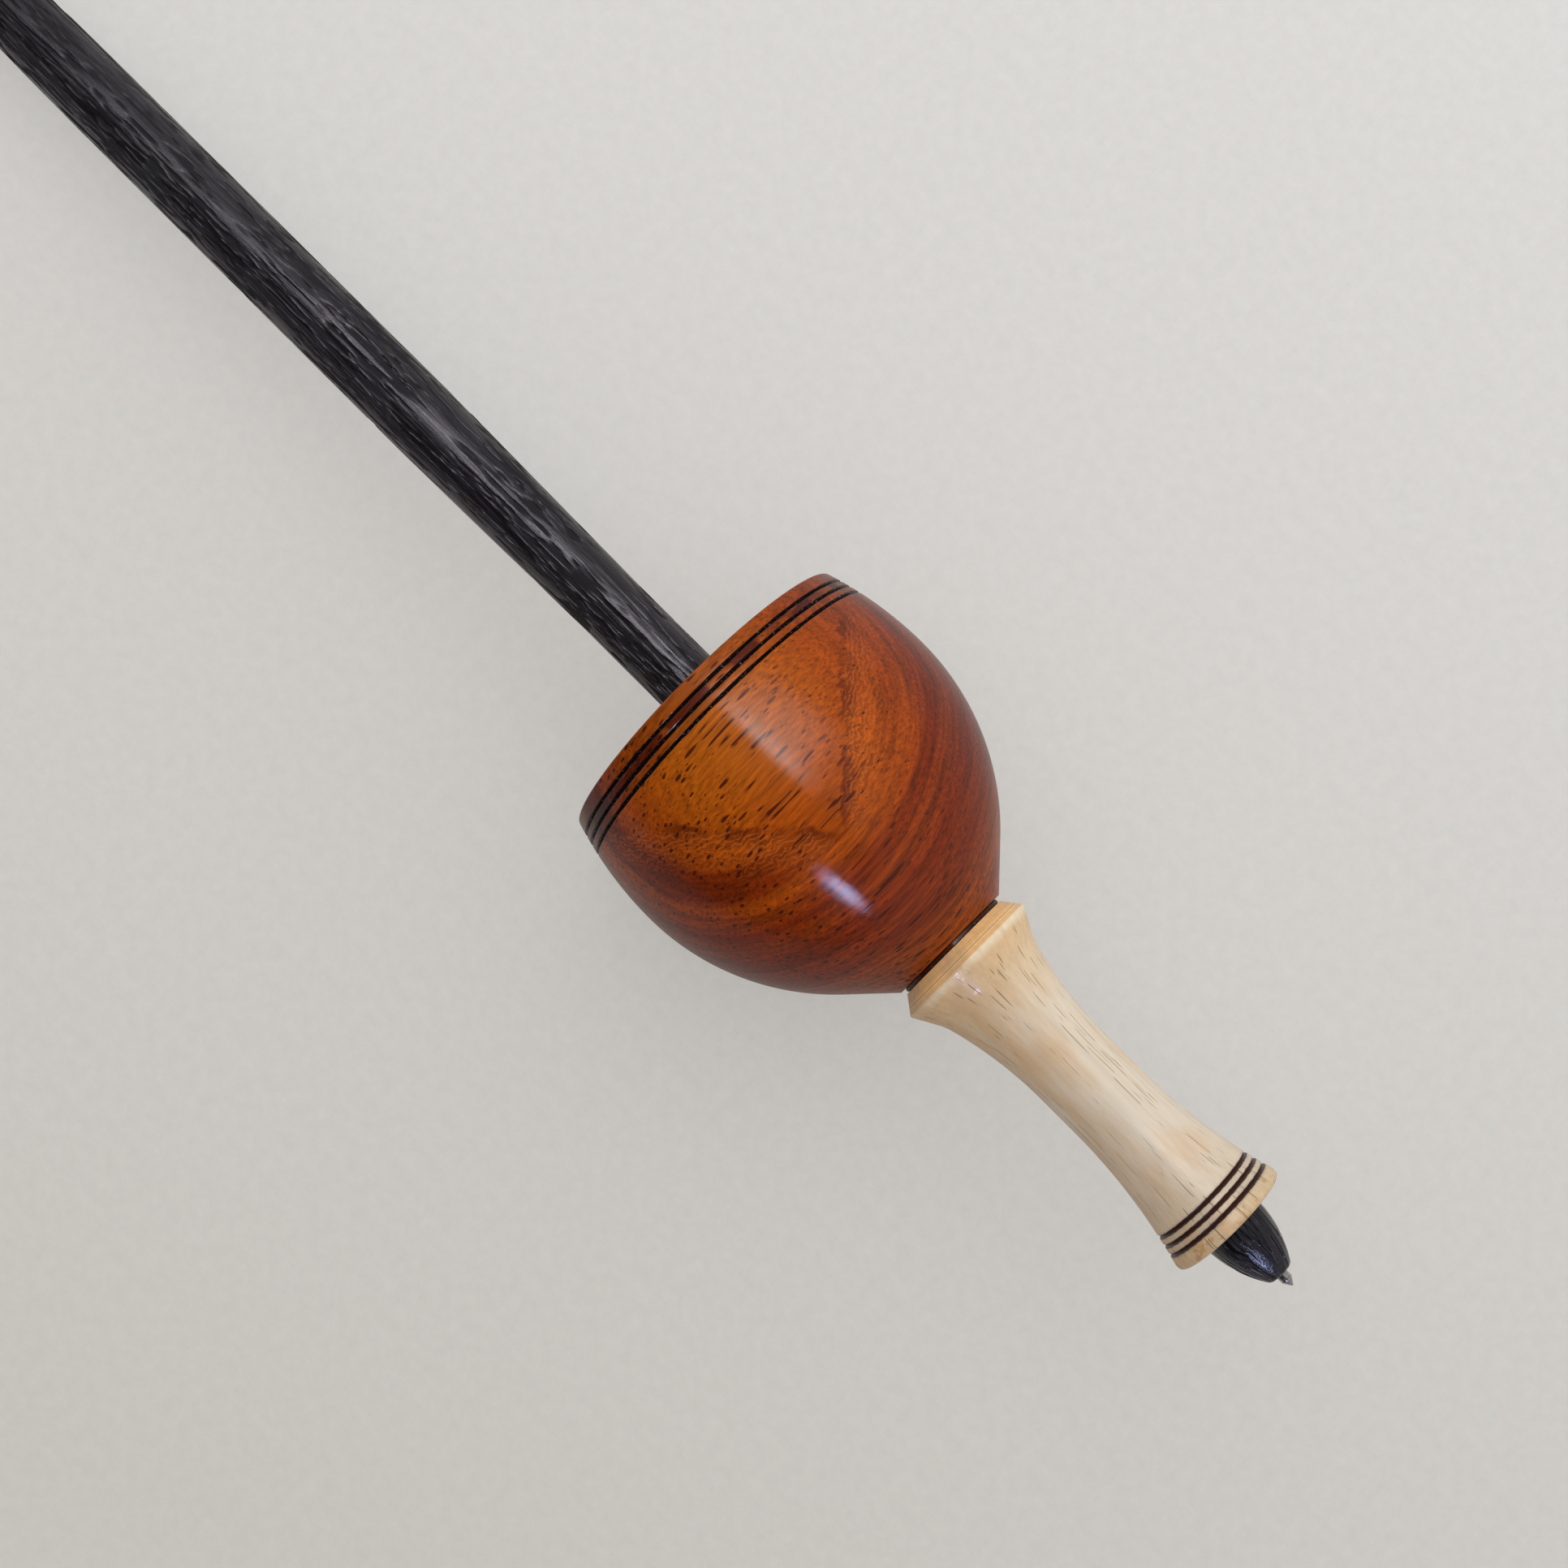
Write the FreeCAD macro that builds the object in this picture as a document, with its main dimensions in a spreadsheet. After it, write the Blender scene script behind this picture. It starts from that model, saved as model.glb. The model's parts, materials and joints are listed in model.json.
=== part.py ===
import FreeCAD, Part
import math
import os
import Sketcher

# A supported hand spindle, in millimetres: a black wooden rod that carries a turned whorl and a
# turned neck, both glued on, and a steel point in its nose.
#
# Each sub-part is drawn along its own X axis and turned round it. X starts at the sharp end of the
# steel point and runs to the far end of the shaft, and R is the distance from that axis. One
# placement then lays all of them down together as the spindle lies on a table: the whorl and the
# shaft's far end touch Z = 0, the point is raised, and the origin is under the middle of the whole.

SIZES = [
    # steel point
    ("point_tip_flat", 0.1),        # radius of the worn end of the cone
    ("point_cone", 1.0),            # length of the cone
    ("point_straight", 1.1),        # straight length between the cone and the nose
    ("point_radius", 0.8),
    ("point_seat", 10.0),           # length held in the nose
    ("point_hole_spare", 0.5),      # how much deeper the hole is than the point
    ("point_gap", 0.02),            # radial gap between the point and its hole
    # shaft
    ("nose_end_radius", 1.8),
    ("nose_length", 8.8),           # from the neck's end to the nose's flat end
    ("core_radius", 4.5),           # the stretch inside the neck and the whorl
    ("glue_gap", 0.05),             # radial gap between the core and the bores on it
    ("root_step", 0.1),             # how much the shaft above the whorl is thicker than the core
    ("root_length", 18.0),
    ("thick_radius", 5.12),         # the shaft at its thickest
    ("thick_start", 52.0),          # from the whorl's rim
    ("thick_length", 61.0),
    ("shaft_length", 209.0),        # from the whorl's rim to the shaft's far end
    ("shaft_end_radius", 1.9),
    # neck
    ("neck_length", 48.7),
    ("neck_top_radius", 8.4),
    ("bevel_length", 2.4),          # from the neck's top to its lip
    ("lip_radius", 10.2),
    ("lip_edge", 0.35),             # rounding of the lip
    ("flare_length", 4.0),          # from the lip down to the long hollow above the waist
    ("flare_radius", 8.0),          # tight hollow where the flare meets the long hollow
    ("hollow_top_radius", 7.97),    # the neck's radius there
    ("waist_start", 21.5),          # from the neck's top
    ("waist_length", 6.0),
    ("waist_radius", 5.83),
    ("end_band", 1.0),              # straight band at the neck's end
    ("neck_end_radius", 8.62),
    ("neck_end_edge", 0.7),         # rounding of the neck's end
    ("neck_line_first", 2.35),      # from the neck's end to the middle of its first burned line
    ("neck_line_pitch", 1.27),
    ("neck_line_width", 0.68),
    ("neck_line_depth", 0.3),
    # whorl
    ("land_length", 0.65),          # narrow land between the whorl's foot and the neck
    ("land_radius", 8.15),
    ("joint_line_width", 0.24),     # burned line at each side of the land
    ("joint_line_depth", 0.25),
    ("foot_step", 0.7),             # how far the foot stands out beyond the land
    ("foot_depth", 29.85),          # from the foot to the widest place
    ("foot_slope", 7.5),            # straight slope above the foot, along its surface
    ("whorl_radius", 25.0),
    ("rim_height", 14.8),           # from the widest place to the rim
    ("rim_inset", 2.25),            # how much smaller the rim's radius is than the widest one
    ("rim_edge", 0.4),              # rounding of the rim
    ("rim_line_first", 2.05),       # from the rim to the middle of its first burned line
    ("rim_line_pitch", 1.34),
    ("rim_line_width", 0.53),
    ("rim_line_depth", 0.35),
    ("dish_border", 2.4),           # flat ring around the dished top
    ("dish_depth", 2.5),
    ("dish_floor_radius", 7.0),
]
BURNED_LINES = 3                    # burned lines in each group
CUTTER_LIFT = 0.1                   # how far the cutter of a burned line stands out of the wood

doc = FreeCAD.newDocument("spindle")
sheet = doc.addObject("Spreadsheet::Sheet", "Sizes")
for row, (alias, size) in enumerate(SIZES, start=1):
    sheet.set(f"A{row}", alias.replace("_", " "))
    sheet.set(f"B{row}", str(size))
    sheet.setAlias(f"B{row}", alias)
doc.recompute()

# Stations along the axis, each built on the one before it.
NOSE_END = "(Sizes.point_cone + Sizes.point_straight)"
NECK_END = f"({NOSE_END} + Sizes.nose_length)"
SEAT = f"({NECK_END} + Sizes.neck_length)"
FOOT = f"({SEAT} + Sizes.land_length)"
WIDEST = f"({FOOT} + Sizes.foot_depth)"
RIM = f"({WIDEST} + Sizes.rim_height)"
DISH_FLOOR = f"({RIM} - Sizes.dish_depth)"
SHAFT_END = f"({RIM} + Sizes.shaft_length)"
BAND_TOP = f"({NECK_END} + Sizes.end_band)"
LIP = f"({SEAT} - Sizes.bevel_length)"
WAIST_TOP = f"({SEAT} - Sizes.waist_start)"
WAIST_END = f"({WAIST_TOP} - Sizes.waist_length)"

# Radii that follow from others.
BORE_RADIUS = "(Sizes.core_radius + Sizes.glue_gap)"
ROOT_RADIUS = "(Sizes.core_radius + Sizes.root_step)"
FOOT_RADIUS = "(Sizes.land_radius + Sizes.foot_step)"
RIM_RADIUS = "(Sizes.whorl_radius - Sizes.rim_inset)"


def arc_radius(run, rise):
    """Radius of an arc that leaves level and rises by rise over run, as an expression."""
    return f"((({run})^2 + ({rise})^2) / (2 * ({rise})))"


# The belly above its widest place and the hollow below the waist are each one arc, level at one
# end, so their radius follows from where the other end is.
UPPER_BELLY = arc_radius("Sizes.rim_height", "Sizes.rim_inset")
LOWER_HOLLOW = arc_radius(f"{WAIST_END} - {BAND_TOP}", "Sizes.neck_end_radius - Sizes.waist_radius")


def upper_belly_height(x):
    """R of the whorl's surface at station x, between the widest place and the rim."""
    return f"(Sizes.whorl_radius - {UPPER_BELLY} + sqrt({UPPER_BELLY}^2 - ({x} - {WIDEST})^2))"


def lower_hollow_height(x):
    """R of the neck's surface at station x, between its end band and its waist."""
    return f"(Sizes.waist_radius + {LOWER_HOLLOW} - sqrt({LOWER_HOLLOW}^2 - ({WAIST_END} - {x})^2))"


def land_height(x):
    """R of the land between the whorl's foot and the neck, the same at every station."""
    return "Sizes.land_radius"


def value(text):
    """The number that an expression gives with the sheet's present sizes."""
    result = sheet.evalExpression(text)
    return float(getattr(result, "Value", result))


def make_body(name):
    body = doc.addObject("PartDesign::Body", name)
    body.Label = name
    return body


def make_sketch(body, name):
    """Add a sketch on the body's own XY plane, so that sketch x is the station and y is R."""
    sketch = body.newObject("Sketcher::SketchObject", name)
    plane = next(item for item in body.Origin.OriginFeatures if item.Role == "XY_Plane")
    sketch.AttachmentSupport = [(plane, "")]
    sketch.MapMode = "FlatFace"
    return sketch


def bind(sketch, constraint, text):
    """Add a constraint that ends in a size, and tie that size to an expression."""
    index = sketch.addConstraint(Sketcher.Constraint(*constraint, value(text)))
    sketch.setExpression(f"Constraints[{index}]", text)


def pin(sketch, edge, end, x, r):
    """Fix one end of an edge at station x and radius r. None for x or r means 0."""
    for kind, axis, text in (("DistanceX", -2, x), ("DistanceY", -1, r)):
        if text is None:
            sketch.addConstraint(Sketcher.Constraint("PointOnObject", edge, end, axis))
        else:
            bind(sketch, (kind, -1, 1, edge, end), text)


def add_arc(sketch, start, finish, radius, hollow):
    """Add an arc from start to finish and return its index with the numbers of those two ends.

    Its centre lies left of the way from start to finish if it is hollow, and right if it is
    crowned. A sketch's arcs all run anticlockwise, so a crowned arc has its first end at finish.
    """
    chord = finish - start
    left = FreeCAD.Vector(-chord.y, chord.x, 0).normalize()
    offset = math.sqrt(radius ** 2 - (chord.Length / 2) ** 2)
    centre = start + chord * 0.5 + left * (offset if hollow else -offset)
    first, last = (start, finish) if hollow else (finish, start)
    angles = [math.atan2(p.y - centre.y, p.x - centre.x) for p in (first, last)]
    circle = Part.Circle(centre, FreeCAD.Vector(0, 0, 1), radius)
    edge = sketch.addGeometry(Part.ArcOfCircle(circle, *angles))
    return (edge, 1, 2) if hollow else (edge, 2, 1)


def add_outline(sketch, corners, crowned={}, hollow={}):
    """Add a closed outline with every corner pinned to its (x, r).

    The corners run clockwise: out along one end, along the outside and back. crowned and hollow
    give, by the number of the corner that an arc starts from, the radius of that arc.
    """
    spots = [FreeCAD.Vector(value(x) if x else 0, value(r) if r else 0, 0) for x, r in corners]
    edges = []
    for number, start in enumerate(spots):
        finish = spots[(number + 1) % len(spots)]
        radius = crowned.get(number) or hollow.get(number)
        if radius:
            edges.append(add_arc(sketch, start, finish, value(radius), number in hollow))
            bind(sketch, ("Radius", edges[-1][0]), radius)
        else:
            edges.append((sketch.addGeometry(Part.LineSegment(start, finish)), 1, 2))
    for number, (edge, start, end) in enumerate(edges):
        following, following_start, _ = edges[(number + 1) % len(edges)]
        sketch.addConstraint(Sketcher.Constraint("Coincident", edge, end, following, following_start))
        pin(sketch, edge, start, *corners[number])


def turn(body, kind, name, sketch):
    """Turn a sketch all the way round the axis: kind is Revolution to add, Groove to cut."""
    before = body.Shape.Volume if body.Tip else 0
    feature = body.newObject(f"PartDesign::{kind}", name)
    feature.Profile = sketch
    feature.ReferenceAxis = (sketch, ["H_Axis"])
    feature.Angle = 360
    doc.recompute()
    grown = feature.Shape.Volume - before
    if (grown > 0) != (kind == "Revolution"):
        raise RuntimeError(f"{name} changes the volume by {grown}")


def round_edge(body, name, x, r, size):
    """Round the circular edge that lies at station x and radius r."""
    wanted_x, wanted_r, tolerance = value(x), value(r), 1e-4
    base = body.Tip
    for number, edge in enumerate(base.Shape.Edges, start=1):
        curve = edge.Curve
        if not isinstance(curve, Part.Circle) or abs(curve.Radius - wanted_r) > tolerance:
            continue
        if abs(curve.Center.x - wanted_x) < tolerance:
            feature = body.newObject("PartDesign::Fillet", name)
            feature.Base = (base, [f"Edge{number}"])
            feature.setExpression("Radius", size)
            doc.recompute()
            return
    raise RuntimeError(f"{name} finds no edge to round")


def burn_lines(body, name, stations, surface, width, depth):
    """Cut V-shaped burned lines at the stations. surface(x) gives R of the surface there."""
    sketch = make_sketch(body, f"{name}_outline")
    for x in stations:
        corners = [(x, f"{surface(x)} - {depth}")]
        for side in "-+":
            corner = f"({x} {side} {width} / 2 * (1 + {CUTTER_LIFT} / {depth}))"
            corners.append((corner, f"{surface(corner)} + {CUTTER_LIFT}"))
        add_outline(sketch, corners)
    turn(body, "Groove", name, sketch)


def make_steel_point():
    """A steel pin with a cone point, most of it inside the nose."""
    body = make_body("steel_point")
    inner_end = f"{NOSE_END} + Sizes.point_seat"
    sketch = make_sketch(body, "point_outline")
    add_outline(sketch, [
        (None, None),
        (None, "Sizes.point_tip_flat"),
        ("Sizes.point_cone", "Sizes.point_radius"),
        (inner_end, "Sizes.point_radius"),
        (inner_end, None),
    ])
    turn(body, "Revolution", "point_turned", sketch)
    return body


def make_shaft():
    """The rod: nose, core through neck and whorl, and the tapered shaft that the fingers turn."""
    body = make_body("shaft")
    thick_from = f"{RIM} + Sizes.thick_start"
    thick_to = f"{thick_from} + Sizes.thick_length"
    end_centre = f"{SHAFT_END} - Sizes.shaft_end_radius"
    sketch = make_sketch(body, "shaft_outline")
    add_outline(sketch, [
        (NOSE_END, None),
        (NOSE_END, "Sizes.nose_end_radius"),
        (NECK_END, "Sizes.core_radius"),
        (DISH_FLOOR, "Sizes.core_radius"),
        (DISH_FLOOR, ROOT_RADIUS),
        (f"{RIM} + Sizes.root_length", ROOT_RADIUS),
        (thick_from, "Sizes.thick_radius"),
        (thick_to, "Sizes.thick_radius"),
        (end_centre, "Sizes.shaft_end_radius"),
        (SHAFT_END, None),
    ], crowned={
        1: arc_radius("Sizes.nose_length", "Sizes.core_radius - Sizes.nose_end_radius"),
        7: arc_radius(f"{end_centre} - ({thick_to})", "Sizes.thick_radius - Sizes.shaft_end_radius"),
        8: "Sizes.shaft_end_radius",
    })
    turn(body, "Revolution", "shaft_turned", sketch)

    hole_radius = "Sizes.point_radius + Sizes.point_gap"
    hole_end = f"{NOSE_END} + Sizes.point_seat + Sizes.point_hole_spare"
    sketch = make_sketch(body, "point_hole_outline")
    add_outline(sketch, [
        (NOSE_END, None),
        (NOSE_END, hole_radius),
        (hole_end, hole_radius),
        (hole_end, None),
    ])
    turn(body, "Groove", "point_hole", sketch)
    return body


def make_neck():
    """The pale sleeve: a bevelled lip under the whorl, a waist, and a flared end with burned lines."""
    body = make_body("neck")
    hollow_top = f"{LIP} - Sizes.flare_length"
    sketch = make_sketch(body, "neck_outline")
    add_outline(sketch, [
        (NECK_END, BORE_RADIUS),
        (NECK_END, "Sizes.neck_end_radius"),
        (BAND_TOP, "Sizes.neck_end_radius"),
        (WAIST_END, "Sizes.waist_radius"),
        (WAIST_TOP, "Sizes.waist_radius"),
        (hollow_top, "Sizes.hollow_top_radius"),
        (LIP, "Sizes.lip_radius"),
        (SEAT, "Sizes.neck_top_radius"),
        (SEAT, BORE_RADIUS),
    ], hollow={
        2: LOWER_HOLLOW,
        4: arc_radius(f"{hollow_top} - {WAIST_TOP}", "Sizes.hollow_top_radius - Sizes.waist_radius"),
    })
    turn(body, "Revolution", "neck_turned", sketch)
    round_edge(body, "flare_rounding", hollow_top, "Sizes.hollow_top_radius", "Sizes.flare_radius")
    round_edge(body, "lip_rounding", LIP, "Sizes.lip_radius", "Sizes.lip_edge")
    round_edge(body, "end_rounding", NECK_END, "Sizes.neck_end_radius", "Sizes.neck_end_edge")
    stations = [
        f"({NECK_END} + Sizes.neck_line_first + {number} * Sizes.neck_line_pitch)"
        for number in range(BURNED_LINES)
    ]
    burn_lines(body, "neck_lines", stations, lower_hollow_height,
               "Sizes.neck_line_width", "Sizes.neck_line_depth")
    return body


def make_whorl():
    """The bowl-shaped whorl: foot on the neck, full belly, burned lines and a dished top.

    Above the foot the belly is a straight slope that runs into one arc, level at the widest place.
    With the radius growing by RISE over the depth, the slope's angle is
    2 * atan(RISE / (depth + slope length)).
    """
    body = make_body("whorl")
    rise = f"(Sizes.whorl_radius - {FOOT_RADIUS})"
    angle = f"(2 * atan({rise} / (Sizes.foot_depth + Sizes.foot_slope)))"
    slope_run = f"(Sizes.foot_slope * cos({angle}))"
    slope_rise = f"(Sizes.foot_slope * sin({angle}))"
    dish_radius = f"({RIM_RADIUS} - Sizes.dish_border)"
    sketch = make_sketch(body, "whorl_outline")
    add_outline(sketch, [
        (SEAT, BORE_RADIUS),
        (SEAT, "Sizes.land_radius"),
        (FOOT, "Sizes.land_radius"),
        (FOOT, FOOT_RADIUS),
        (f"{FOOT} + {slope_run}", f"{FOOT_RADIUS} + {slope_rise}"),
        (WIDEST, "Sizes.whorl_radius"),
        (RIM, RIM_RADIUS),
        (RIM, dish_radius),
        (DISH_FLOOR, "Sizes.dish_floor_radius"),
        (DISH_FLOOR, BORE_RADIUS),
    ], crowned={
        4: arc_radius(f"Sizes.foot_depth - {slope_run}", f"{rise} - {slope_rise}"),
        5: UPPER_BELLY,
    }, hollow={
        7: arc_radius(f"{dish_radius} - Sizes.dish_floor_radius", "Sizes.dish_depth"),
    })
    turn(body, "Revolution", "whorl_turned", sketch)
    round_edge(body, "rim_rounding", RIM, RIM_RADIUS, "Sizes.rim_edge")
    stations = [
        f"({RIM} - Sizes.rim_line_first - {number} * Sizes.rim_line_pitch)"
        for number in range(BURNED_LINES)
    ]
    burn_lines(body, "rim_lines", stations, upper_belly_height,
               "Sizes.rim_line_width", "Sizes.rim_line_depth")
    burn_lines(body, "joint_lines", [SEAT, FOOT], land_height,
               "Sizes.joint_line_width", "Sizes.joint_line_depth")
    return body


def lay_down(body):
    """Lay a body down with the rest of the spindle.

    The table touches two circles: the upper belly's arc and the shaft's round end. Their centres
    are REACH apart along the axis, and the belly's centre lies LIFT beyond the axis, so the axis
    tilts by asin((belly radius - end radius) / hypot(REACH, LIFT)) - atan(LIFT / REACH).
    """
    end_centre = f"({SHAFT_END} - Sizes.shaft_end_radius)"
    reach = f"({end_centre} - {WIDEST})"
    lift = f"({UPPER_BELLY} - Sizes.whorl_radius)"
    lean = f"asin(({UPPER_BELLY} - Sizes.shaft_end_radius) / hypot({reach}; {lift}))"
    tilt = f"({lean} - atan2({lift}; {reach}))"
    length = f"({end_centre} * cos({tilt}) + Sizes.shaft_end_radius)"
    height = f"{UPPER_BELLY} + {WIDEST} * sin({tilt}) - {lift} * cos({tilt})"
    across = FreeCAD.Rotation(FreeCAD.Vector(0, 1, 0), value(tilt))
    body.Placement = FreeCAD.Placement(FreeCAD.Vector(), across)
    body.setExpression("Placement.Rotation.Angle", tilt)
    body.setExpression("Placement.Base.x", f"-{length} / 2")
    body.setExpression("Placement.Base.z", height)


bodies = [make_steel_point(), make_shaft(), make_neck(), make_whorl()]
for body in bodies:
    lay_down(body)
doc.recompute()

for item in doc.Objects:
    if "Invalid" in item.State or "Error" in item.State:
        raise RuntimeError(f"{item.Name} could not be computed: {item.State}")
for body in bodies:
    if body.Shape.isNull() or not body.Shape.isValid() or len(body.Shape.Solids) != 1:
        raise RuntimeError(f"{body.Label} is not one valid solid")

os.makedirs("parts", exist_ok=True)
for body in bodies:
    body.Shape.exportStep(f"parts/{body.Label}.step")
    print(f"{body.Label}: {body.Shape.Volume:.1f} mm3, {body.Shape.optimalBoundingBox()}")
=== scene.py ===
"""Looks of a supported hand spindle, laid out as an add-on.

The spindle is four turned pieces on one axis: a steel point, a black shaft, a pale neck and a
bowl-shaped whorl. Each piece is one surface of revolution, worked out on a grid of stations along the
axis and directions round it, with its burned lines and cracks sunk into it.
"""
import json
import math
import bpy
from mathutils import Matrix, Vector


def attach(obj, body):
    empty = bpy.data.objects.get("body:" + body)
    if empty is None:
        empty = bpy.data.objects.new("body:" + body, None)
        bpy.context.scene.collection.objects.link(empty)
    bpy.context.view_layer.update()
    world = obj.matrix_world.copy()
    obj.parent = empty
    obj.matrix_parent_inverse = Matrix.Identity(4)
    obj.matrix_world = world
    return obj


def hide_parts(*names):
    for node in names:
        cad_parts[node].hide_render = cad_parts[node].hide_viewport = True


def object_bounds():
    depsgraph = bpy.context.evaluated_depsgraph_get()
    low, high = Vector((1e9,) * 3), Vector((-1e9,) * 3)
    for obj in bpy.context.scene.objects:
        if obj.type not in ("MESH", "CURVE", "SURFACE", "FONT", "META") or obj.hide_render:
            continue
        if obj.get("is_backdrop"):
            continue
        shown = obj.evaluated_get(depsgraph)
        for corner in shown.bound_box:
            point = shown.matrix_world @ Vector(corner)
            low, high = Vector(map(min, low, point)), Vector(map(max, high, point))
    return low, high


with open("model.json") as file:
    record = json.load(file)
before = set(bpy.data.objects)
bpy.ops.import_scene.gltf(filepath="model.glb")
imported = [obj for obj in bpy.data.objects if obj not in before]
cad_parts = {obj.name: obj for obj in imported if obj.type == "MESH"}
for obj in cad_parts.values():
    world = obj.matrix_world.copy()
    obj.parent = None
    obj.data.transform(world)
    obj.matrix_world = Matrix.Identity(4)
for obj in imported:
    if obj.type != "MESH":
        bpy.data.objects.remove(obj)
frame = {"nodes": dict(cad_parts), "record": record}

from types import SimpleNamespace

import bpy
import numpy as np
from bpy.props import FloatProperty, FloatVectorProperty, PointerProperty
from mathutils import Matrix, Vector

bl_info = {
    "name": "Hand spindle",
    "version": (1, 0, 0),
    "blender": (4, 5, 0),
    "location": "3D View > Sidebar > Spindle",
    "description": "Dresses a turned hand spindle in wood and steel and sets it on a table",
    "category": "Object",
}

MM = 0.001

# ------------------------------------------------------------------ the spindle's own frame

MOUNT = next(mount for mount in frame["record"]["mounts"] if mount["name"] == "steel_point")
TIP = np.array(MOUNT["pos_m"], float)
AXIS = -np.array(MOUNT["axis"], float)
UP = np.array((-AXIS[2], 0.0, AXIS[0]))
SIDE = np.cross(UP, AXIS)


def reach_of(node):
    """First and last station of a CAD node along the axis and its greatest radius, in millimetres."""
    mesh = frame["nodes"][node].data
    points = np.empty(len(mesh.vertices) * 3, np.float32)
    mesh.vertices.foreach_get("co", points)
    offset = points.reshape(-1, 3) - TIP
    along = offset @ AXIS
    radius = np.linalg.norm(offset - along[:, None] * AXIS, axis=1)
    return along.min() / MM, along.max() / MM, radius.max() / MM


# ------------------------------------------------------------------ colours, sizes

def linear(code):
    """Linear colour of an sRGB hex one, with 1 as its alpha: c / 12.92 below 0.04045, else
    ((c + 0.055) / 1.055) ^ 2.4."""
    values = [int(code[i:i + 2], 16) / 255 for i in (0, 2, 4)]
    return [c / 12.92 if c <= 0.04045 else ((c + 0.055) / 1.055) ** 2.4 for c in values] + [1.0]


def length(name, millimetres, description):
    """A length that can be changed, with its default in millimetres."""
    return FloatProperty(name=name, description=description, default=millimetres * MM, min=0.0,
                         unit="LENGTH", precision=5)


def in_millimetres(sizes):
    """The lengths of a group of sizes, in millimetres, under the same names."""
    return SimpleNamespace(**{name: getattr(sizes, name) / MM for name in type(sizes).__annotations__})


class PointSizes(bpy.types.PropertyGroup):
    tip_flat: length("Tip flat", 0.1, "Radius of the worn tip")
    cone: length("Cone length", 1.0, "Length of the cone")
    radius: length("Pin radius", 0.8, "Radius of the pin")
    gap: length("Gap", 0.02, "Glue gap round the pin")
    spare: length("Spare depth", 0.5, "How much deeper than the pin its hole is")


class ShaftSizes(bpy.types.PropertyGroup):
    nose_end_radius: length("Nose end radius", 1.8, "Radius of the flat end that holds the steel point")
    core_radius: length("Core radius", 4.5, "Radius of the rod inside the neck and the whorl")
    root_radius: length("Root radius", 4.6, "Radius of the shaft just above the whorl")
    root_length: length("Root length", 18.0, "Straight length above the whorl's rim")
    thick_radius: length("Thickest radius", 5.12, "Radius of the shaft at its thickest")
    thick_start: length("Thick part starts", 52.0, "From the whorl's rim to the thickest part")
    thick_length: length("Thick part length", 61.0, "Length of the thickest part")
    end_radius: length("End radius", 1.9, "Radius of the round far end")
    crack_depth: length("Crack depth", 0.16, "Depth of the open grain along the shaft")


class NeckSizes(bpy.types.PropertyGroup):
    bore_radius: length("Bore radius", 4.55, "Radius of the hole round the rod")
    top_radius: length("Top radius", 8.4, "Radius of the face that meets the whorl")
    bevel: length("Bevel length", 2.4, "From the neck's top to its lip")
    lip_radius: length("Lip radius", 10.2, "Greatest radius of the neck")
    flare: length("Flare length", 4.0, "From the lip down to the long hollow")
    hollow_top_radius: length("Hollow top radius", 7.97, "Radius where the flare meets the long hollow")
    waist_start: length("Waist start", 21.5, "From the neck's top to the waist")
    waist_length: length("Waist length", 6.0, "Length of the waist")
    waist_radius: length("Waist radius", 5.83, "Smallest radius of the neck")
    end_band: length("End band", 1.0, "Straight band at the neck's end")
    end_radius: length("End radius", 8.62, "Radius of the neck's end")
    end_round: length("End rounding", 0.7, "Rounding of the neck's end")
    flare_round: length("Flare rounding", 0.91, "Rounding where the flare meets the long hollow")
    lip_round: length("Lip rounding", 0.23, "Rounding of the lip")
    line_first: length("First line", 2.35, "From the neck's end to its first burned line")
    line_pitch: length("Line pitch", 1.27, "From one burned line to the next")
    line_width: length("Line width", 0.68, "Width of a burned line")
    line_depth: length("Line depth", 0.30, "Depth of a burned line")


class WhorlSizes(bpy.types.PropertyGroup):
    bore_radius: length("Bore radius", 4.55, "Radius of the hole round the rod")
    land: length("Land length", 0.65, "Narrow land between the foot and the neck")
    land_radius: length("Land radius", 8.15, "Radius of that land")
    foot_radius: length("Foot radius", 8.85, "Radius of the foot")
    foot_depth: length("Foot depth", 29.85, "From the foot to the widest place")
    foot_slope: length("Foot slope", 7.5, "Straight slope above the foot, along its surface")
    rim_radius: length("Rim radius", 22.75, "Radius of the rim")
    rim_round: length("Rim rounding", 0.3, "Rounding of the rim's outer edge")
    line_first: length("First line", 2.05, "From the rim to its first burned line")
    line_pitch: length("Line pitch", 1.34, "From one burned line to the next")
    line_width: length("Line width", 0.53, "Width of a burned line")
    line_depth: length("Line depth", 0.35, "Depth of a burned line")
    joint_width: length("Joint line width", 0.24, "Width of the burned line at each side of the land")
    joint_depth: length("Joint line depth", 0.25, "Depth of those lines")
    dish_border: length("Dish border", 2.4, "Flat ring round the dished top")
    dish_depth: length("Dish depth", 2.5, "Depth of the dished top")
    dish_floor: length("Dish floor radius", 7.0, "Radius of the flat floor of the dish")


class StageSizes(bpy.types.PropertyGroup):
    camera_height: length("Camera height", 304.12, "Height of the camera above the whorl's widest place")
    lens: FloatProperty(name="Lens", description="Focal length for a 36 mm sensor, in millimetres",
                        default=54.04, min=10.0)
    paper: FloatVectorProperty(name="Paper colour", description="Matt paper on the table",
                               default=linear("D8D7D4")[:3], size=3, min=0.0, max=1.0, subtype="COLOR")


# ------------------------------------------------------------------ turned surfaces

def straight(start, finish, count):
    """Points on the line from start to finish, without the last: start + t * (finish - start)."""
    t = np.linspace(0, 1, count, endpoint=False)[:, None]
    return np.array(start) + t * (np.array(finish) - np.array(start))


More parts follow.
